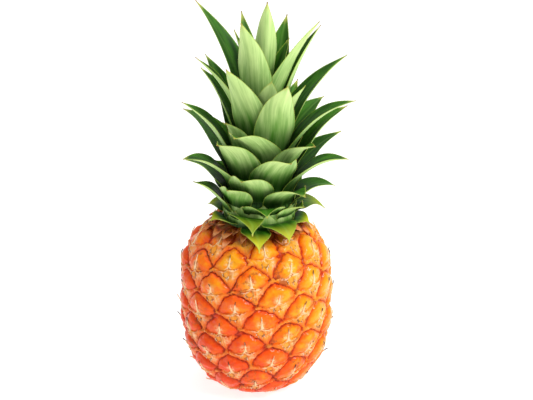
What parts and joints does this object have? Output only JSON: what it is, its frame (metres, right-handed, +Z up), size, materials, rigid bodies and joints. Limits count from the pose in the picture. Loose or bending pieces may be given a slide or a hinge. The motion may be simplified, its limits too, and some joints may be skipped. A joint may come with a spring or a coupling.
{
  "type": "pineapple",
  "caption": "Whole ripe pineapple standing upright: barrel-shaped orange fruit with spiral eyes and bracts, and a tall crown of pointed green leaves.",
  "frame": {"origin": "centre of the small flat spot at the fruit's base that it stands on", "axes": "+Z up the fruit's axis towards the crown, -Y the front"},
  "size_m": [0.1348, 0.1321, 0.3144],
  "materials": {
    "fruit_skin": "waxy satin fruit rind, orange to yellow domes with dark red grooves",
    "cut_stalk": "dry fibrous cut face",
    "crown_stem": "matte green plant stem with packed leaf bases",
    "crown_leaf": "satin leaf with pale waxy bloom on the outer face"
  },
  "bodies": {
    "root": {"fruit_body": "fruit_skin", "stalk_end": "cut_stalk", "crown_stem": "crown_stem", "leaf_01": "crown_leaf", "leaf_02": "crown_leaf", "leaf_03": "crown_leaf", "leaf_04": "crown_leaf", "leaf_05": "crown_leaf", "leaf_06": "crown_leaf", "leaf_07": "crown_leaf", "leaf_08": "crown_leaf", "leaf_09": "crown_leaf", "leaf_10": "crown_leaf", "leaf_11": "crown_leaf", "leaf_12": "crown_leaf", "leaf_13": "crown_leaf", "leaf_14": "crown_leaf", "leaf_15": "crown_leaf", "leaf_16": "crown_leaf", "leaf_17": "crown_leaf", "leaf_18": "crown_leaf", "leaf_19": "crown_leaf", "leaf_20": "crown_leaf", "leaf_21": "crown_leaf", "leaf_22": "crown_leaf", "leaf_23": "crown_leaf", "leaf_24": "crown_leaf", "leaf_25": "crown_leaf", "leaf_26": "crown_leaf", "leaf_27": "crown_leaf", "leaf_28": "crown_leaf", "leaf_29": "crown_leaf", "leaf_30": "crown_leaf", "leaf_31": "crown_leaf", "leaf_32": "crown_leaf", "leaf_33": "crown_leaf", "leaf_34": "crown_leaf", "leaf_35": "crown_leaf", "leaf_36": "crown_leaf", "leaf_37": "crown_leaf", "leaf_38": "crown_leaf", "leaf_39": "crown_leaf", "leaf_40": "crown_leaf", "leaf_41": "crown_leaf", "leaf_42": "crown_leaf", "leaf_43": "crown_leaf", "leaf_44": "crown_leaf", "leaf_45": "crown_leaf", "leaf_46": "crown_leaf", "leaf_47": "crown_leaf", "leaf_48": "crown_leaf", "leaf_49": "crown_leaf", "leaf_50": "crown_leaf", "leaf_51": "crown_leaf", "leaf_52": "crown_leaf", "leaf_53": "crown_leaf", "leaf_54": "crown_leaf", "leaf_55": "crown_leaf", "leaf_56": "crown_leaf", "leaf_57": "crown_leaf"}
  },
  "joints": []
}
